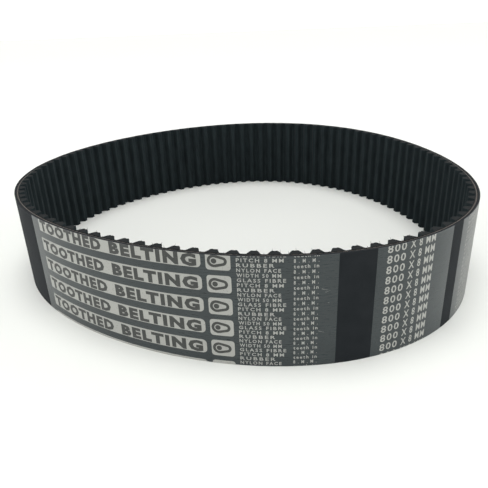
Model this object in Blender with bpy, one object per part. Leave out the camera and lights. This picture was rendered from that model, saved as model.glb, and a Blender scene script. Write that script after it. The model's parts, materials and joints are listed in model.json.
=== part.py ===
"""Timing belt: an endless toothed rubber belt, standing on one edge as a free loop.

The belt is made in layers, from outside to inside: a rubber backing, a ply of tension
cords on the pitch line, and the moulded teeth under their fabric facing. A real belt
bends everywhere along its length. Here it is cut into equal spans of whole teeth, which
hinge on the cords, where a real belt neither stretches nor shortens.

Units are metres. The loop stands on Z = 0, and the Z axis runs through the middle of its
box. A free loop is not quite round, so its layers are laid out by distance along the
cords and depth outwards from them, and the loop's heading says where that is.
"""

import math

import bpy

# Driving dimensions
PITCH = 0.008                  # tooth to tooth, along the cords
TEETH = 100
BELT_WIDTH = 0.050
BELT_THICKNESS = 0.0054        # from the back to the crest of a tooth
TOOTH_HEIGHT = 0.0032
CORDS_TO_LAND = 0.000686       # from the middle of the cords to the land between teeth
TOOTH_HALF_WIDTH = 0.00275     # at the land
CREST_HALF_WIDTH = 0.00070     # the shallow groove in a tooth's crest
CREST_GROOVE_DEPTH = 0.00035
CORD_PLY_THICKNESS = 0.00066
CORD_INSET = 0.0002            # the cut cords lie a little inside the belt's slit edges
LAYER_GAP = 0.00005            # clearance between bonded layers
SPANS = 20
SPAN_END_GAP = 0.0002          # each span's end stands back this far from its hinge
OPEN_PIVOT_AFTER = 8           # the loop's one open pivot lies between this span and the next

# The free loop's shape: a circle's steady turning, plus slow waves in its heading.
# The wave with one cycle per turn is the one that makes the loop's ends meet.
FRONT_HEADING = 0.0225         # radians from +X, at the first hinge
HEADING_WAVES = (              # cycles per turn, cosine part and sine part in radians
    (1, 0.001671, -0.001405),
    (2, -0.0425, 0.0246),
    (3, -0.0866, -0.0291),
)

# Worked out from the driving dimensions
BELT_LENGTH = PITCH * TEETH
TEETH_PER_SPAN = TEETH // SPANS
SPAN_LENGTH = PITCH * TEETH_PER_SPAN
LAND_DEPTH = -CORDS_TO_LAND    # depths are outwards from the middle of the cords
BACK_DEPTH = LAND_DEPTH - TOOTH_HEIGHT + BELT_THICKNESS
CORD_HALF = CORD_PLY_THICKNESS / 2

TRACE_STEPS = 8000             # steps in tracing the loop
ARC_STEPS = 10                 # straight facets in one span's smooth surfaces
FLANK_STEPS = 4                # facets down each side of a tooth


def heading_at(along):
    """The direction that the belt runs in, at a distance along the cords."""
    turn = math.tau * along / BELT_LENGTH
    waves = (c * math.cos(n * turn) + s * math.sin(n * turn) for n, c, s in HEADING_WAVES)
    return FRONT_HEADING + turn + sum(waves)


def trace_loop():
    """Points on the cords all round the loop, about the middle of the back's box."""
    step = BELT_LENGTH / TRACE_STEPS
    points = [(0.0, 0.0)]
    for count in range(TRACE_STEPS):
        heading = heading_at((count + 0.5) * step)
        x, y = points[-1]
        points.append((x + step * math.cos(heading), y + step * math.sin(heading)))
    headings = [heading_at(count * step) for count in range(TRACE_STEPS)]
    back_x = [x + BACK_DEPTH * math.sin(heading) for (x, _), heading in zip(points, headings)]
    back_y = [y - BACK_DEPTH * math.cos(heading) for (_, y), heading in zip(points, headings)]
    middle_x = (min(back_x) + max(back_x)) / 2
    middle_y = (min(back_y) + max(back_y)) / 2
    return [(x - middle_x, y - middle_y) for x, y in points]


LOOP = trace_loop()


def place(along, depth=0.0):
    """Where a distance along the cords and a depth outwards from them lie, as (x, y)."""
    steps = along / BELT_LENGTH * TRACE_STEPS
    count = min(int(steps), TRACE_STEPS - 1)
    share = steps - count
    (x0, y0), (x1, y1) = LOOP[count], LOOP[count + 1]
    heading = heading_at(along)
    return (x0 + (x1 - x0) * share + depth * math.sin(heading),
            y0 + (y1 - y0) * share - depth * math.cos(heading))


def clear_scene():
    for scene_object in list(bpy.data.objects):
        bpy.data.objects.remove(scene_object, do_unlink=True)


def make_material(name, color, roughness):
    material = bpy.data.materials.new(name)
    material.use_nodes = True
    shader = material.node_tree.nodes["Principled BSDF"]
    shader.inputs["Base Color"].default_value = (*color, 1.0)
    shader.inputs["Roughness"].default_value = roughness
    shader.inputs["Metallic"].default_value = 0.0
    return material


def tooth_height_at(offset):
    """Height of a tooth above the land: a parabola, with a shallow groove in its crest."""
    crest_share = CREST_HALF_WIDTH / TOOTH_HALF_WIDTH
    if abs(offset) < CREST_HALF_WIDTH:
        groove = CREST_GROOVE_DEPTH * (1 - (offset / CREST_HALF_WIDTH) ** 2)
        return TOOTH_HEIGHT - groove
    full_height = TOOTH_HEIGHT / (1 - crest_share ** 2)
    return full_height * (1 - (offset / TOOTH_HALF_WIDTH) ** 2)


def tooth_offsets():
    """Places across one tooth, from its base over the crest to its other base."""
    flank = TOOTH_HALF_WIDTH - CREST_HALF_WIDTH
    side = [TOOTH_HALF_WIDTH - flank * step / FLANK_STEPS for step in range(FLANK_STEPS + 1)]
    return [-offset for offset in side] + [0.0] + side[::-1]


def span_ends(span):
    """Where a span's material starts and stops along the cords."""
    first = (span - 1) * SPAN_LENGTH
    return first + SPAN_END_GAP, first + SPAN_LENGTH - SPAN_END_GAP


def smooth_face(span, depth):
    """Points of one span's smooth surface at a depth, from end to end."""
    start, stop = span_ends(span)
    length = (stop - start) / ARC_STEPS
    return [place(start + length * step, depth) for step in range(ARC_STEPS + 1)]


def toothed_face(span):
    """Points of one span's toothed inner surface, from end to end."""
    start, stop = span_ends(span)
    points = [place(start, LAND_DEPTH)]
    for tooth in range(TEETH_PER_SPAN):
        middle = (span - 1) * SPAN_LENGTH + (tooth + 0.5) * PITCH
        for offset in tooth_offsets():
            points.append(place(middle + offset, LAND_DEPTH - tooth_height_at(offset)))
    points.append(place(stop, LAND_DEPTH))
    return points


def make_layer(name, outer, inner, width, material):
    """A flat outline between two rows of points, extruded across the belt."""
    outline = outer + inner[::-1]
    layer = bpy.data.curves.new(name, "CURVE")
    layer.dimensions = "2D"
    layer.fill_mode = "BOTH"
    layer.extrude = width / 2
    spline = layer.splines.new("POLY")
    spline.points.add(len(outline) - 1)
    for point, (x, y) in zip(spline.points, outline):
        point.co = (x, y, 0.0, 1.0)
    spline.use_cyclic_u = True
    layer.materials.append(material)
    return layer


def make_hinge(span, collection):
    """An empty on the axis that a span turns about: a line across the belt through the cords.

    A span hinges on its neighbour at its first end up to the open pivot, then at its last.
    """
    ends_before = span - 1 if span <= OPEN_PIVOT_AFTER else span
    hinge = bpy.data.objects.new(f"hinge_{span:02d}", None)
    hinge.location = (*place(ends_before * SPAN_LENGTH), 0.0)
    hinge.empty_display_size = BELT_WIDTH / 2
    collection.objects.link(hinge)
    return hinge


def make_span(span, materials, collection):
    """One span of every layer, parented to the hinge that it turns about."""
    hinge = make_hinge(span, collection)
    cord_width = BELT_WIDTH - 2 * CORD_INSET
    layers = (
        ("backing", smooth_face(span, BACK_DEPTH), smooth_face(span, CORD_HALF + LAYER_GAP), BELT_WIDTH),
        ("tension_cords", smooth_face(span, CORD_HALF), smooth_face(span, -CORD_HALF), cord_width),
        ("teeth", smooth_face(span, -CORD_HALF - LAYER_GAP), toothed_face(span), BELT_WIDTH),
    )
    for layer_name, outer, inner, width in layers:
        name = f"{layer_name}_{span:02d}"
        piece = bpy.data.objects.new(name, make_layer(name, outer, inner, width, materials[layer_name]))
        piece.parent = hinge
        piece.location = (-hinge.location.x, -hinge.location.y, BELT_WIDTH / 2)
        collection.objects.link(piece)


def main():
    clear_scene()
    belt = bpy.data.collections.new("timing_belt")
    bpy.context.scene.collection.children.link(belt)
    materials = {
        "backing": make_material("belt_rubber", (0.025, 0.028, 0.030), 0.55),
        "tension_cords": make_material("glass_cord", (0.46, 0.42, 0.34), 0.70),
        "teeth": make_material("tooth_facing", (0.016, 0.020, 0.021), 0.75),
    }
    for span in range(1, SPANS + 1):
        make_span(span, materials, belt)


main()
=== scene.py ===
"""Looks for the timing belt: a black toothed rubber belt standing on its edge as a free loop.

Everything is laid out on the belt pulled straight, in metres: `along` runs round the loop
from the lead hinge at the front, `across` runs up from the lower slit edge, and `depth`
runs outwards from the tension cords. wrap() puts it onto the loop. Each layer is one piece
per hinge, from mid span to mid span.
"""

import json
import math
from collections import namedtuple

import bmesh
import bpy
import numpy as np
from mathutils import Matrix, Vector

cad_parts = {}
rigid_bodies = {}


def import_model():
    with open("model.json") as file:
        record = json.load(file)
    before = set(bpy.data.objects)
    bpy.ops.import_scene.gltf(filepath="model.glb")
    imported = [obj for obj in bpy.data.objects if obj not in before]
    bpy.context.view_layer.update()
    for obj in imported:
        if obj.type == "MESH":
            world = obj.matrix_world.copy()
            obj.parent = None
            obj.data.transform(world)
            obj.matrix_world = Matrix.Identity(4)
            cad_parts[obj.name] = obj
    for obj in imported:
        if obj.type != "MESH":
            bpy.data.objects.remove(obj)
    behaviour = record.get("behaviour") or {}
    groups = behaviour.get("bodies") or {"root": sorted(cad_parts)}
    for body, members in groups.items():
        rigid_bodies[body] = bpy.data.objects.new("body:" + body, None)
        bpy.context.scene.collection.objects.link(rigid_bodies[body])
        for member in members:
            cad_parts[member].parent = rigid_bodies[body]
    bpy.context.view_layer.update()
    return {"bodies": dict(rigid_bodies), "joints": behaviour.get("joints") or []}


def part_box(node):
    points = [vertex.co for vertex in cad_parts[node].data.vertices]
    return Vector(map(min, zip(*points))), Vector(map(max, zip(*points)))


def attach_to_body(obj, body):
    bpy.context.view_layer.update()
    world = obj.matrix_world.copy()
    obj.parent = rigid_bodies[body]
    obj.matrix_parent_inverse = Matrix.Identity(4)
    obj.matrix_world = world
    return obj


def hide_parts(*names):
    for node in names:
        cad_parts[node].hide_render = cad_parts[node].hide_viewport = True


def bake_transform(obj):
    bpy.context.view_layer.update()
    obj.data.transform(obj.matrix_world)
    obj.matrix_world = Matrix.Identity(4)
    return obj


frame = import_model()
MM = 0.001

# The loop, as in the CAD: a circle's steady turning, plus slow waves in its heading
SPANS = len(frame["bodies"])
SPAN_LENGTH = 40 * MM
BELT_LENGTH = SPANS * SPAN_LENGTH
BELT_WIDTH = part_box("backing_01")[1].z
BACK_DEPTH = 1.514 * MM
FRONT_HEADING = 0.0225
HEADING_WAVES = ((1, 0.001671, -0.001405), (2, -0.0425, 0.0246), (3, -0.0866, -0.0291))
TRACE_STEPS = 8000
OPEN_GAP = 0.08 * MM           # lets the two halves at the open pivot turn without meeting

# The section through the belt
TEETH_PER_SPAN = 5
PITCH = SPAN_LENGTH / TEETH_PER_SPAN
LAND_DEPTH = -0.686 * MM
TOOTH_HEIGHT = 3.2 * MM
TOOTH_HALF_WIDTH = 2.75 * MM
CREST_HALF_WIDTH = 1.0 * MM
CREST_GROOVE_DEPTH = 0.35 * MM
CORNER_ROUNDING = 0.30 * MM
FACING_THICKNESS = 0.25 * MM
THREAD_SPACING_MM = 0.55
CORD_RADIUS = 0.33 * MM
CORD_CLEARANCE = 0.05 * MM
CORD_STRANDS = 3
CORD_LOBES = 0.12              # how far the strands stand out, as a share of the radius
CORD_LAY = 2.4 * MM            # one turn of the strands
EDGE_CORD_INSET = 0.50 * MM    # from the slit edge to the middle of the nearest cord
EDGE_ROUNDING = 0.05 * MM
FIBRES_PER_SECTION = 13
FIBRE_LENGTH = 1.3 * MM
FIBRE_RADIUS = 0.10 * MM
FIBRE_FOOT = ((1, 0, 0), (-0.5, 0, 0.9), (-0.5, 0, -0.9))      # a triangle, in fibre radii
FIBRE_FACES = ((0, 1, 2), (1, 0, 3), (2, 1, 3), (0, 2, 3))     # its foot, and three sides to the tip
EDGE_WAVER = 0.05 * MM         # how far the slitting knife wandered

# The printed back: three panels, each over the belt's whole width. Rows of print are given as
# the top row's middle, the distance from row to row, and how many there are.
PANELS = ((-121.5 * MM, 28 * MM), (43.2 * MM, 84 * MM), (92.7 * MM, 136 * MM))
LABEL_STARTS = (0.0, 12 * SPAN_LENGTH)   # the second label is on the side away from the front
INK_LIFT = 0.015 * MM
INK_THICKNESS = 0.020 * MM
PRINT_MARGIN = 0.12 * MM
PRINT_FACET = 4 * MM
BOX_ROWS = (47.4 * MM, 9.92 * MM, 6)
WORD_BOX = (-114.3 * MM, -24.2 * MM)
WORD_BOX_HEIGHT = 6.5 * MM
BOX_WORDS = (("TOOTHED", -113 * MM, -70.1 * MM), ("BELTING", -65.6 * MM, -25.9 * MM))
BOX_WORD_HEIGHT = 5.0 * MM
SIGN_BOX = (-22.2 * MM, -12.5 * MM)
SIGN_BOX_HEIGHT = 7.6 * MM
LINE_ROWS = (50.43 * MM, 2.127 * MM, 24)
LINES = (("GLASS FIBRE", 18.6 * MM), ("PITCH 8 MM", 17.7 * MM), ("RUBBER", 14.3 * MM),
         ("NYLON FACE", 16.7 * MM), ("WIDTH 50 MM", 16.8 * MM))
LINE_STARTS = (-10.4 * MM, 99 * MM, 119 * MM)
LINE_HEIGHT = 1.5 * MM
PAIR_ROWS = (50.3 * MM, 2.29 * MM, 23)
PAIRS = ("teeth in", "8 . M . M .")
PAIR_PLACE = (11.0 * MM, 20.4 * MM)
PITCH_ROWS = (48.7 * MM, 4.52 * MM, 12)
PITCH_WORDS = (("800", 47.4 * MM, 56.0 * MM), ("X 8 MM", 57.9 * MM, 71.4 * MM))
PITCH_WORD_HEIGHT = 3.3 * MM

SCRATCHES = ((21.6, 35.6, 25.6, 34.4), (23.0, 34.0, 24.6, 34.3),
             (20.8, 16.6, 23.4, 15.7), (24.2, 29.3, 25.1, 29.0))   # ends, in millimetres
SCRATCH_HALF_WIDTH = 0.06 * MM

# Lettering: how far the font's outline is thickened, and the letters' spacing
BOLD = (0.062, 1.22)
MEDIUM = (0.016, 1.2)
SMALL = (0.020, 1.35)

# The studio
FLOOR_COLOR = (0.86, 0.875, 0.838)
# Brightness of the sky by the sine of the height above the horizon: low, middle, overhead
SKY = ((0.45, (0.27, 0.27, 0.27)), (0.55, (0.055, 0.055, 0.055)),
       (0.92, (0.055, 0.055, 0.055)), (0.96, (1.0, 1.0, 1.0)))
SKY_STRENGTH = 5.3
SIDE_LIGHTS = ((-1, 7.5), (1, 9))               # which side, and watts

# The camera, in front of the belt and above it
CAMERA_TARGET = (2.78, -1.26, -2.36)           # in millimetres
CAMERA_DISTANCE = 325.3 * MM
CAMERA_ELEVATION = math.radians(24.11)
CAMERA_ROLL = math.radians(-2.25)
CAMERA_LENS = 37.116

Section = namedtuple("Section", "name first last bodies")


# Laying out and attaching

def heading_at(along):
    """The direction that the belt runs in, for distances along the cords."""
    turn = math.tau * np.asarray(along) / BELT_LENGTH
    waves = sum(c * np.cos(n * turn) + s * np.sin(n * turn) for n, c, s in HEADING_WAVES)
    return FRONT_HEADING + turn + waves


def trace_loop():
    """Points on the cords all round the loop, about the middle of the back's box."""
    step = BELT_LENGTH / TRACE_STEPS
    headings = heading_at((np.arange(TRACE_STEPS) + 0.5) * step)
    moves = step * np.stack((np.cos(headings), np.sin(headings)), axis=1)
    points = np.concatenate((np.zeros((1, 2)), np.cumsum(moves, axis=0)))
    headings = heading_at(np.arange(TRACE_STEPS + 1) * step)
    back = points + BACK_DEPTH * np.stack((np.sin(headings), -np.cos(headings)), axis=1)
    return points - (back.min(axis=0) + back.max(axis=0)) / 2


LOOP = trace_loop()


def wrap(flat_points):
    """Puts points given as (along, across, depth) onto the loop."""
    along, across, depth = np.asarray(flat_points, float).T
    steps_along = (along % BELT_LENGTH) / BELT_LENGTH * TRACE_STEPS
    heading = heading_at(along)
    x = np.interp(steps_along, np.arange(TRACE_STEPS + 1), LOOP[:, 0]) + depth * np.sin(heading)
    y = np.interp(steps_along, np.arange(TRACE_STEPS + 1), LOOP[:, 1]) - depth * np.cos(heading)
    return np.stack((x, y, across), axis=1)


def make_sections():
    """One stretch of belt per hinge. The open pivot, where no joint is, gives two rigid halves."""
    jointed = {frozenset((j["parent"], j["child"])) for j in frame["joints"]}
    sections = []
    for hinge in range(SPANS):
        middle = hinge * SPAN_LENGTH
        first, last = middle - SPAN_LENGTH / 2, middle + SPAN_LENGTH / 2
        before, after = f"span_{hinge or SPANS:02d}", f"span_{hinge + 1:02d}"
        if frozenset((before, after)) in jointed:
            sections.append(Section(f"{hinge:02d}", first, last, (before, after)))
        else:
            sections.append(Section(f"{hinge:02d}a", first, middle - OPEN_GAP / 2, (before,)))
            sections.append(Section(f"{hinge:02d}b", middle + OPEN_GAP / 2, last, (after,)))
    return sections


def attach(piece, section, layer=None):
    """Parents a piece to its span's body where the section is one rigid half, else bakes it in place; given
    a layer, hides that layer's CAD nodes in the section.
    """
    if len(section.bodies) == 1:
        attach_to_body(piece, section.bodies[0])
    else:
        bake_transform(piece)
    if layer:
        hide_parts(*(body.replace("span", layer) for body in section.bodies))


def steps(first, last, step, extra=()):
    """Evenly spaced places from first to last, with any extra ones that lie between."""
    count = max(1, round((last - first) / step))
    places = set(np.linspace(first, last, count + 1).tolist())
    places.update(place for place in extra if first < place < last)
    return sorted(places)


def mesh_from_flat(name, flat_points, faces, materials, face_materials=None):
    """An object from points given as (along, across, depth), wrapped onto the loop."""
    mesh = bpy.data.meshes.new(name)
    mesh.from_pydata(wrap(flat_points).tolist(), [], faces)
    for material in materials:
        mesh.materials.append(material)
    if face_materials:
        mesh.polygons.foreach_set("material_index", face_materials)
    place = mesh.attributes.new("belt_place_mm", "FLOAT_VECTOR", "POINT")
    place.data.foreach_set("vector", np.array(flat_points, np.float32).ravel() / MM)
    mesh.shade_smooth()
    mesh.set_sharp_from_angle(angle=math.radians(40))
    mesh.validate()
    piece = bpy.data.objects.new(name, mesh)
    bpy.context.scene.collection.objects.link(piece)
    return piece


def edge_waver(along):
    """The slit edge's small wander, which repeats once round the loop."""
    turn = math.tau * along / BELT_LENGTH
    return EDGE_WAVER * (math.sin(23 * turn) + math.sin(57 * turn + 1) + math.sin(131 * turn + 2)) / 3


def across_rows(margin=0.0):
    """Rows across the belt, closer together by the slit edges."""
    low, high = margin, BELT_WIDTH - margin
    insets = (0, 0.06 * MM, 0.6 * MM, 3 * MM, 12 * MM)
    return [low + inset for inset in insets] + [BELT_WIDTH / 2] + [high - inset for inset in insets[::-1]]


def layer_solid(name, outer, inner, rows, materials, material_at=None):
    """A closed solid between two profiles of (along, depth) points, outer first, over rows across."""
    count, width = len(outer), len(rows)
    points = []
    for profile, sign in ((outer, -1), (inner, 1)):
        for along, depth in profile:
            for row, across in enumerate(rows):
                at_edge = row in (0, width - 1)
                inward = 1 if row < width / 2 else -1
                near_edge = row in (0, 1, width - 2, width - 1)
                waver = inward * (EDGE_WAVER + edge_waver(along)) if near_edge else 0
                points.append((along, across + waver, depth + (sign * EDGE_ROUNDING if at_edge else 0)))

    def at(side, i, j):
        return (side * count + i) * width + j

    faces, kinds = [], []
    for i in range(count - 1):
        kind = material_at((outer[i][0] + outer[i + 1][0]) / 2) if material_at else 0
        for j in range(width - 1):
            faces.append((at(0, i, j), at(0, i + 1, j), at(0, i + 1, j + 1), at(0, i, j + 1)))
            faces.append((at(1, i, j), at(1, i, j + 1), at(1, i + 1, j + 1), at(1, i + 1, j)))
            kinds += [kind, 0]
        top = width - 1
        faces.append((at(0, i, 0), at(1, i, 0), at(1, i + 1, 0), at(0, i + 1, 0)))
        faces.append((at(0, i, top), at(0, i + 1, top), at(1, i + 1, top), at(1, i, top)))
        kinds += [0, 0]
    for j in range(width - 1):
        end = count - 1
        faces.append((at(0, 0, j), at(0, 0, j + 1), at(1, 0, j + 1), at(1, 0, j)))
        faces.append((at(0, end, j), at(1, end, j), at(1, end, j + 1), at(0, end, j + 1)))
        kinds += [0, 0]
    return mesh_from_flat(name, points, faces, materials, kinds)


# The layers

def sharp_tooth_height(offset):
    """Height above the land at a distance from a tooth's middle: a parabola with a grooved crest."""
    offset = abs((offset + PITCH / 2) % PITCH - PITCH / 2)
    if offset < CREST_HALF_WIDTH:
        return TOOTH_HEIGHT - CREST_GROOVE_DEPTH * (1 - (offset / CREST_HALF_WIDTH) ** 2)
    full_height = TOOTH_HEIGHT / (1 - (CREST_HALF_WIDTH / TOOTH_HALF_WIDTH) ** 2)
    return max(0.0, full_height * (1 - (offset / TOOTH_HALF_WIDTH) ** 2))


def tooth_height(along):
    """The moulded tooth, with its corners rounded by averaging over a short window."""
    window = np.linspace(-CORNER_ROUNDING, CORNER_ROUNDING, 9)
    middle = along - PITCH / 2
    return sum(sharp_tooth_height(middle + shift) for shift in window) / len(window)


def facing_profiles(section):
    """The facing's rubber side and its pulley side, as (along, depth) points."""
    places = steps(section.first, section.last, 0.25 * MM)
    surface = [(along, LAND_DEPTH - tooth_height(along)) for along in places]
    slope_step = 0.02 * MM
    backed = []
    for along, depth in surface:
        rise = (tooth_height(along + slope_step) - tooth_height(along - slope_step)) / (2 * slope_step)
        normal = Vector((rise, 1)).normalized()
        keep_end = 0 if along in (places[0], places[-1]) else 1
        backed.append((along + keep_end * normal.x * FACING_THICKNESS, depth + normal.y * FACING_THICKNESS))
    return backed, surface


def make_backing(section, materials):
    borders = [start + edge for start in LABEL_STARTS for panel in PANELS for edge in panel]
    borders += [border - BELT_LENGTH for border in borders]
    places = steps(section.first, section.last, 0.5 * MM, borders)

    def printed(along):
        return any(start + first < place < start + last for start in LABEL_STARTS
                   for first, last in PANELS for place in (along, along - BELT_LENGTH))

    outer = [(along, BACK_DEPTH) for along in places]
    inner = [(along, CORD_RADIUS + CORD_CLEARANCE) for along in places]
    backing = layer_solid(f"backing_{section.name}", outer, inner, across_rows(),
                          [materials["rubber"], materials["film"]],
                          lambda along: 1 if printed(along) else 0)
    attach(backing, section, "backing")


def make_teeth(section, materials):
    backed, surface = facing_profiles(section)
    core_top = [(along, -CORD_RADIUS - CORD_CLEARANCE) for along, _ in surface]
    core = layer_solid(f"tooth_rubber_{section.name}", core_top, backed, across_rows(), [materials["cut"]])
    attach(core, section, "teeth")
    facing = layer_solid(f"facing_{section.name}", backed, surface, across_rows(), [materials["facing"]])
    attach(facing, section, "teeth")


def make_fibres(section, materials):
    """Short ends of nylon thread that the knife left standing at the upper slit edge.

    Sines of the place along the belt scatter their lengths and the way they lean.
    """
    points, faces = [], []
    for index in range(FIBRES_PER_SECTION):
        share = (index + 0.5) / FIBRES_PER_SECTION
        along = section.first + share * (section.last - section.first)
        wobble = math.sin(97 * along / MM)
        foot = Vector((along, BELT_WIDTH - 0.1 * MM, LAND_DEPTH - tooth_height(along)))
        length = FIBRE_LENGTH * (0.6 + 0.4 * math.sin(41 * along / MM))
        tip = foot + length * Vector((0.8 * wobble, 0.8, -0.5)).normalized()
        start = len(points)
        points += [tuple(foot + FIBRE_RADIUS * Vector(corner)) for corner in FIBRE_FOOT]
        points.append(tuple(tip))
        faces += [tuple(start + corner for corner in face) for face in FIBRE_FACES]
    fibres = mesh_from_flat(f"fibres_{section.name}", points, faces, [materials["cut"]])
    attach(fibres, section)


def edge_cord(section, across, around=12):
    """Points and faces of one twisted cord along a slit edge, with closed ends."""
    places = steps(section.first, section.last, 0.3 * MM)
    points, faces = [], []
    for along in places:
        for side in range(around):
            angle = math.tau * side / around
            lobe = math.cos(CORD_STRANDS * angle - math.tau * along / CORD_LAY)
            radius = CORD_RADIUS * (1 - CORD_LOBES + CORD_LOBES * lobe)
            points.append((along, across + radius * math.cos(angle), radius * math.sin(angle)))
    for ring in range(len(places) - 1):
        for side in range(around):
            a, b = ring * around + side, ring * around + (side + 1) % around
            faces.append((a, b, b + around, a + around))
    last_ring = (len(places) - 1) * around
    faces.append(tuple(range(around))[::-1])
    faces.append(tuple(last_ring + side for side in range(around)))
    return points, faces


def make_cords(section, materials):
    """The ply of cords: a band inside the belt, and the two cords that show in its slit edges."""
    places = steps(section.first, section.last, 1 * MM)
    margin = 2 * EDGE_CORD_INSET
    ply = layer_solid(f"cords_{section.name}", [(along, CORD_RADIUS) for along in places],
                      [(along, -CORD_RADIUS) for along in places], across_rows(margin), [materials["cord"]])
    attach(ply, section, "tension_cords")
    points, faces = [], []
    for across in (EDGE_CORD_INSET, BELT_WIDTH - EDGE_CORD_INSET):
        more_points, more_faces = edge_cord(section, across)
        faces += [tuple(corner + len(points) for corner in face) for face in more_faces]
        points += more_points
    cords = mesh_from_flat(f"edge_cords_{section.name}", points, faces, [materials["cord"]])
    attach(cords, section)


# The print

class Artwork:
    """Flat shapes in one ink, drawn at (along, across), then cut up and wrapped onto the back."""

    def __init__(self, name, material, layer):
        self.name, self.material = name, material
        self.lift = INK_LIFT + layer * INK_THICKNESS
        self.mesh = bmesh.new()

    def polygon(self, outline):
        self.mesh.faces.new([self.mesh.verts.new((along, across, 0)) for along, across in outline])

    def shape(self, points, faces):
        corners = [self.mesh.verts.new((along, across, 0)) for along, across in points]
        for face in faces:
            self.mesh.faces.new([corners[corner] for corner in face])

    def box(self, first, last, low, high, left_radius, right_radius):
        """A box with rounded corners, of one radius at each end."""
        outline = []
        corners = ((last, high, right_radius), (first, high, left_radius),
                   (first, low, left_radius), (last, low, right_radius))
        for turn, (along, across, radius) in enumerate(corners):
            middle_along = along - math.copysign(radius, along - (first + last) / 2)
            middle_across = across - math.copysign(radius, across - (low + high) / 2)
            for part in range(7):
                angle = math.radians(90 * turn + 15 * part)
                outline.append((middle_along + radius * math.cos(angle),
                                middle_across + radius * math.sin(angle)))
        self.polygon(outline)

    def disc(self, along, across, radius):
        angles = [math.tau * part / 20 for part in range(20)]
        self.polygon([(along + radius * math.cos(a), across + radius * math.sin(a)) for a in angles])

    def words(self, text, first, last, middle, height, weight=0.0, spacing=1.0):
        """Words stretched from first to last, as high as is given for a capital letter."""
        points, faces = lettering(text, weight, spacing)
        left, right = min(point[0] for point in points), max(point[0] for point in points)
        capital = max(point[1] for point in lettering("H", weight, spacing)[0])
        across_scale = height / capital
        along_scale = (last - first) / (right - left)
        self.shape([(first + (x - left) * along_scale, middle - height / 2 + y * across_scale)
                    for x, y in points], faces)

    def cut(self, along=None, across=None, keep_above=None):
        geometry = self.mesh.verts[:] + self.mesh.edges[:] + self.mesh.faces[:]
        where = (along, 0, 0) if along is not None else (0, across, 0)
        normal = (1, 0, 0) if along is not None else (0, 1, 0)
        bmesh.ops.bisect_plane(self.mesh, geom=geometry, dist=1e-7, plane_co=where, plane_no=normal,
                               clear_inner=keep_above is True, clear_outer=keep_above is False)

    def print_on(self, sections):
        """Cuts the artwork at the belt's edges and every few millimetres, and makes its pieces."""
        self.cut(across=PRINT_MARGIN, keep_above=True)
        self.cut(across=BELT_WIDTH - PRINT_MARGIN, keep_above=False)
        lowest = min(vert.co.x for vert in self.mesh.verts)
        highest = max(vert.co.x for vert in self.mesh.verts)
        for count in range(math.ceil(lowest / PRINT_FACET), math.ceil(highest / PRINT_FACET)):
            self.cut(along=count * PRINT_FACET)
        for section in sections:
            for start in LABEL_STARTS:
                for turn in (-BELT_LENGTH, 0, BELT_LENGTH):
                    self.print_section(section, start + turn)
        self.mesh.free()

    def print_section(self, section, shift):
        """Makes the part of the artwork that falls in one section, as thin closed solids."""
        chosen = [face for face in self.mesh.faces
                  if section.first < face.calc_center_median().x + shift < section.last]
        if not chosen:
            return
        piece = bmesh.new()
        corners = {}
        for vert in {vert for face in chosen for vert in face.verts}:
            corners[vert] = piece.verts.new((vert.co.x + shift, vert.co.y, BACK_DEPTH + self.lift))
        for face in chosen:
            piece.faces.new([corners[vert] for vert in face.verts])
        raised = bmesh.ops.extrude_face_region(piece, geom=piece.faces[:])["geom"]
        for item in raised:
            if isinstance(item, bmesh.types.BMVert):
                item.co.z += INK_THICKNESS
        bmesh.ops.recalc_face_normals(piece, faces=piece.faces[:])
        piece.verts.index_update()
        points = [tuple(vert.co) for vert in piece.verts]
        faces = [[vert.index for vert in face.verts] for face in piece.faces]
        piece.free()
        made = mesh_from_flat(f"{self.name}_{section.name}", points, faces, [self.material])
        attach(made, section)


LETTERING = {}


def lettering(text, weight, spacing):
    """A filled outline of some words, as flat points and faces."""
    key = (text, weight, spacing)
    if key not in LETTERING:
        curve = bpy.data.curves.new("words", "FONT")
        curve.body = text
        curve.offset = weight
        curve.space_character = spacing
        curve.resolution_u = 2
        words = bpy.data.objects.new("words", curve)
        bpy.context.scene.collection.objects.link(words)
        bpy.context.view_layer.update()
        mesh = bpy.data.meshes.new_from_object(words.evaluated_get(bpy.context.evaluated_depsgraph_get()))
        LETTERING[key] = ([tuple(vert.co.xy) for vert in mesh.vertices],
                          [tuple(face.vertices) for face in mesh.polygons])
        bpy.data.objects.remove(words)
        bpy.data.curves.remove(curve)
        bpy.data.meshes.remove(mesh)
    return LETTERING[key]


def spaced_rows(top, pitch, count):
    """The numbers and the middles of evenly spaced rows, from the top one down."""
    return [(row, top - row * pitch) for row in range(count)]


def draw_boxes(light, dark):
    """Rows of a long box with bold words, and a square box with a belt-drive sign."""
    for _, middle in spaced_rows(*BOX_ROWS):
        low, high = middle - WORD_BOX_HEIGHT / 2, middle + WORD_BOX_HEIGHT / 2
        light.box(*WORD_BOX, low, high, 0.3 * MM, 1.9 * MM)
        low, high = middle - SIGN_BOX_HEIGHT / 2, middle + SIGN_BOX_HEIGHT / 2
        light.box(*SIGN_BOX, low, high, 1.3 * MM, 1.3 * MM)
        if middle > 0:
            for text, first, last in BOX_WORDS:
                dark.words(text, first, last, middle, BOX_WORD_HEIGHT, *BOLD)
            draw_drive_sign(dark, sum(SIGN_BOX) / 2, middle)


def draw_scratches(light):
    """Short tapering scuffs where the film is rubbed."""
    for first, low, last, high in SCRATCHES:
        start, end = Vector((first, low)) * MM, Vector((last, high)) * MM
        side = (end - start).orthogonal().normalized() * SCRATCH_HALF_WIDTH
        light.polygon([tuple(point) for point in (start + side, end, start - side)])


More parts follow.
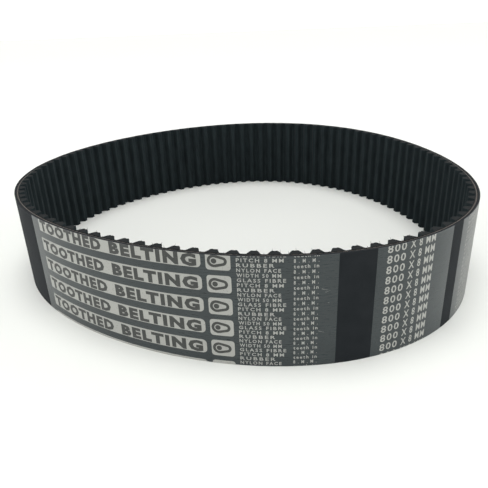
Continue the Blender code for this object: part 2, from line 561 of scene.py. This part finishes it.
def draw_drive_sign(dark, along, across):
    """The belt round a small and a large pulley, and the large pulley's hub."""
    big, small, reach, belt = 2.1 * MM, 1.35 * MM, 1.6 * MM, 1.15 * MM
    lean = math.asin((big - small) / (2 * reach))
    ends = ((along - reach, big, math.pi / 2 - lean, math.pi + 2 * lean),
            (along + reach, small, lean - math.pi / 2, math.pi - 2 * lean))
    edges = []
    for outward in (belt / 2, -belt / 2):
        for centre, radius, first_angle, sweep in ends:
            for part in range(13):
                angle = first_angle + sweep * part / 12
                edges.append((centre + (radius + outward) * math.cos(angle),
                              across + (radius + outward) * math.sin(angle)))
    count = len(edges) // 2
    dark.shape(edges, [(i, (i + 1) % count, count + (i + 1) % count, count + i) for i in range(count)])
    dark.disc(along - reach, across, big - 1.0 * MM)


def draw_lines(light):
    """The columns of small print: plain words about the belt."""
    for row, middle in spaced_rows(*LINE_ROWS):
        text, width = LINES[row % len(LINES)]
        for start in LINE_STARTS:
            light.words(text, start, start + width, middle, LINE_HEIGHT, *SMALL)
    for row, middle in spaced_rows(*PAIR_ROWS):
        light.words(PAIRS[row % len(PAIRS)], *PAIR_PLACE, middle, LINE_HEIGHT, *SMALL)


def draw_pitch_rows(light):
    """Rows with the belt's length and pitch in larger figures."""
    for _, middle in spaced_rows(*PITCH_ROWS):
        for text, first, last in PITCH_WORDS:
            light.words(text, first, last, middle, PITCH_WORD_HEIGHT, *MEDIUM)


# Materials

def node_material(name, color, roughness, specular):
    material = bpy.data.materials.new(name)
    material.use_nodes = True
    shader = material.node_tree.nodes["Principled BSDF"]
    shader.inputs["Base Color"].default_value = (*color, 1)
    shader.inputs["Roughness"].default_value = roughness
    shader.inputs["Specular IOR Level"].default_value = specular
    return material, shader


def belt_place(tree, stretch):
    """Texture coordinates that stay on the belt, in millimetres (along, across, depth)."""
    place = tree.nodes.new("ShaderNodeAttribute")
    place.attribute_name = "belt_place_mm"
    mapping = tree.nodes.new("ShaderNodeMapping")
    mapping.inputs["Scale"].default_value = stretch
    tree.links.new(place.outputs["Vector"], mapping.inputs["Vector"])
    return mapping.outputs["Vector"]


def noise(tree, stretch, detail=3.0, roughness=0.55):
    texture = tree.nodes.new("ShaderNodeTexNoise")
    texture.inputs["Scale"].default_value = 1.0
    texture.inputs["Detail"].default_value = detail
    texture.inputs["Roughness"].default_value = roughness
    tree.links.new(belt_place(tree, stretch), texture.inputs["Vector"])
    return texture.outputs["Fac"]


def ramp(tree, value, stops):
    """A colour ramp from (position, colour) stops, in order of position."""
    node = tree.nodes.new("ShaderNodeValToRGB")
    elements = node.color_ramp.elements
    for element, (position, color) in zip(elements, (stops[0], stops[-1])):
        element.position = position
        element.color = (*color, 1)
    for position, color in stops[1:-1]:
        element = elements.new(position)
        element.color = (*color, 1)
    tree.links.new(value, node.inputs["Fac"])
    return node.outputs["Color"]


def grey(value):
    return (value, value, value)


def bump(tree, shader, height, distance, strength=1.0):
    node = tree.nodes.new("ShaderNodeBump")
    node.inputs["Strength"].default_value = strength
    node.inputs["Distance"].default_value = distance
    tree.links.new(height, node.inputs["Height"])
    tree.links.new(node.outputs["Normal"], shader.inputs["Normal"])


def math_node(tree, operation, *values):
    node = tree.nodes.new("ShaderNodeMath")
    node.operation = operation
    for socket, value in zip(node.inputs, values):
        if isinstance(value, (int, float)):
            socket.default_value = value
        else:
            tree.links.new(value, socket)
    return node.outputs["Value"]


def make_rubber():
    """Bare moulded back: near black, faintly blue, with fine ground lines across the belt."""
    material, shader = node_material("bare_back_rubber", (0.010, 0.0125, 0.0145), 0.8, 0.13)
    tree = material.node_tree
    mottle = noise(tree, (0.12, 0.12, 0.12), 4)
    tree.links.new(ramp(tree, mottle, [(0.3, (0.009, 0.0115, 0.0135)), (0.7, (0.013, 0.0155, 0.018))]),
                   shader.inputs["Base Color"])
    grain = noise(tree, (6, 1.2, 2), 3)
    tree.links.new(ramp(tree, grain, [(0.3, grey(0.72)), (0.75, grey(0.86))]), shader.inputs["Roughness"])
    bump(tree, shader, grain, 0.00003, 0.6)
    return material


def make_film():
    """The printed transfer's dark ground: a smooth grey film with faint rubbed lines."""
    material, shader = node_material("transfer_film", (0.024, 0.032, 0.034), 0.3, 0.6)
    tree = material.node_tree
    cloud = noise(tree, (0.07, 0.09, 0.1), 4)
    rubbed = noise(tree, (0.25, 7, 1), 2)
    tree.links.new(ramp(tree, cloud, [(0.3, (0.011, 0.018, 0.0205)), (0.75, (0.016, 0.0245, 0.027))]),
                   shader.inputs["Base Color"])
    tree.links.new(ramp(tree, rubbed, [(0.35, grey(0.27)), (0.7, grey(0.32))]), shader.inputs["Roughness"])
    bump(tree, shader, rubbed, 0.000004, 0.3)
    return material


def make_ink(name, color, worn_color):
    """Screen-printed ink, worn through in specks."""
    material, shader = node_material(name, color, 0.5, 0.4)
    tree = material.node_tree
    specks = noise(tree, (1.6, 1.6, 1), 5, 0.7)
    tree.links.new(ramp(tree, specks, [(0.34, worn_color), (0.42, color)]), shader.inputs["Base Color"])
    bump(tree, shader, specks, 0.00001, 0.3)
    return material


def make_facing():
    """Woven nylon over the teeth: a twill of fine threads, matt and blue-black."""
    material, shader = node_material("tooth_facing", (0.010, 0.013, 0.0145), 0.9, 0.12)
    tree = material.node_tree
    place = tree.nodes.new("ShaderNodeSeparateXYZ")
    tree.links.new(belt_place(tree, (1, 1, 1)), place.inputs["Vector"])
    turns_per_mm = math.tau / THREAD_SPACING_MM
    along = math_node(tree, "SINE", math_node(tree, "MULTIPLY", place.outputs["X"], turns_per_mm))
    across = math_node(tree, "SINE", math_node(tree, "MULTIPLY", place.outputs["Y"], turns_per_mm))
    weave = math_node(tree, "MULTIPLY", along, across)
    mottle = noise(tree, (0.3, 0.1, 0.3), 4)
    tree.links.new(ramp(tree, mottle, [(0.3, (0.0105, 0.0155, 0.0175)), (0.7, (0.017, 0.0245, 0.0265))]),
                   shader.inputs["Base Color"])
    bump(tree, shader, weave, 0.00004, 0.6)
    return material


def make_cut_rubber():
    """Rubber where the slitting knife went through: matt, with short drag marks."""
    material, shader = node_material("cut_rubber", (0.016, 0.018, 0.019), 0.9, 0.12)
    tree = material.node_tree
    drag = noise(tree, (1.5, 4, 9), 4, 0.65)
    tree.links.new(ramp(tree, drag, [(0.35, (0.010, 0.012, 0.013)), (0.7, (0.022, 0.024, 0.024))]),
                   shader.inputs["Base Color"])
    bump(tree, shader, drag, 0.00006, 0.7)
    return material


def make_cord():
    """Treated glass cord: brown where it is cut, with dark rubber smeared over it."""
    material, shader = node_material("glass_cord", (0.15, 0.125, 0.105), 0.55, 0.4)
    tree = material.node_tree
    fibre = noise(tree, (3, 6, 6), 4, 0.7)
    tree.links.new(ramp(tree, fibre, [(0.35, (0.03, 0.027, 0.024)), (0.6, (0.17, 0.145, 0.125))]),
                   shader.inputs["Base Color"])
    bump(tree, shader, fibre, 0.00003, 0.5)
    return material


def make_materials():
    return {
        "rubber": make_rubber(),
        "film": make_film(),
        "light_ink": make_ink("light_ink", (0.335, 0.338, 0.315), (0.21, 0.214, 0.20)),
        "dark_ink": make_ink("dark_ink", (0.036, 0.038, 0.036), (0.075, 0.08, 0.075)),
        "facing": make_facing(),
        "cut": make_cut_rubber(),
        "cord": make_cord(),
    }


# The studio

def make_floor():
    """A plain pale floor, which reaches the horizon."""
    bpy.ops.mesh.primitive_plane_add(size=12)
    floor = bpy.context.object
    floor.name = "floor"
    material, _ = node_material("pale_floor", FLOOR_COLOR, 0.9, 0.1)
    floor.data.materials.append(material)


def make_area_light(name, place, width, height, power):
    light = bpy.data.lights.new(name, "AREA")
    light.shape = "RECTANGLE"
    light.size = width
    light.size_y = height
    light.energy = power
    lamp = bpy.data.objects.new(name, light)
    lamp.location = place
    lamp.rotation_euler = (-Vector(place)).to_track_quat("-Z", "Y").to_euler()
    bpy.context.scene.collection.objects.link(lamp)


def make_lights():
    """A white room lit from overhead and low down all round, and a soft light at each side.

    The belt keeps the low light off the floor inside it, which is greyer than the floor outside.
    """
    world = bpy.data.worlds.new("studio")
    world.use_nodes = True
    tree = world.node_tree
    direction = tree.nodes.new("ShaderNodeTexCoord")
    height = tree.nodes.new("ShaderNodeSeparateXYZ")
    tree.links.new(direction.outputs["Generated"], height.inputs["Vector"])
    background = tree.nodes["Background"]
    tree.links.new(ramp(tree, height.outputs["Z"], SKY), background.inputs["Color"])
    background.inputs["Strength"].default_value = SKY_STRENGTH
    bpy.context.scene.world = world
    bpy.context.scene.view_settings.view_transform = "Standard"
    for side, power in SIDE_LIGHTS:
        make_area_light(f"side_light_{side}", (1.5 * side, -0.3, 0.40), 1.4, 0.5, power)


def make_camera():
    data = bpy.data.cameras.new("camera")
    data.sensor_width = 36
    data.lens = CAMERA_LENS
    data.clip_start = 0.01
    camera = bpy.data.objects.new("camera", data)
    backwards = Vector((0, -math.cos(CAMERA_ELEVATION), math.sin(CAMERA_ELEVATION)))
    camera.location = Vector(CAMERA_TARGET) * MM + CAMERA_DISTANCE * backwards
    tilt = Matrix.Rotation(math.pi / 2 - CAMERA_ELEVATION, 3, "X") @ Matrix.Rotation(CAMERA_ROLL, 3, "Z")
    camera.rotation_euler = tilt.to_euler()
    bpy.context.scene.collection.objects.link(camera)
    bpy.context.scene.camera = camera


def main():
    materials = make_materials()
    sections = make_sections()
    for section in sections:
        make_backing(section, materials)
        make_cords(section, materials)
        make_teeth(section, materials)
        make_fibres(section, materials)
    light = Artwork("print", materials["light_ink"], 0)
    dark = Artwork("lettering", materials["dark_ink"], 1)
    draw_boxes(light, dark)
    draw_lines(light)
    draw_pitch_rows(light)
    draw_scratches(light)
    light.print_on(sections)
    dark.print_on(sections)
    make_floor()
    make_lights()
    make_camera()


main()
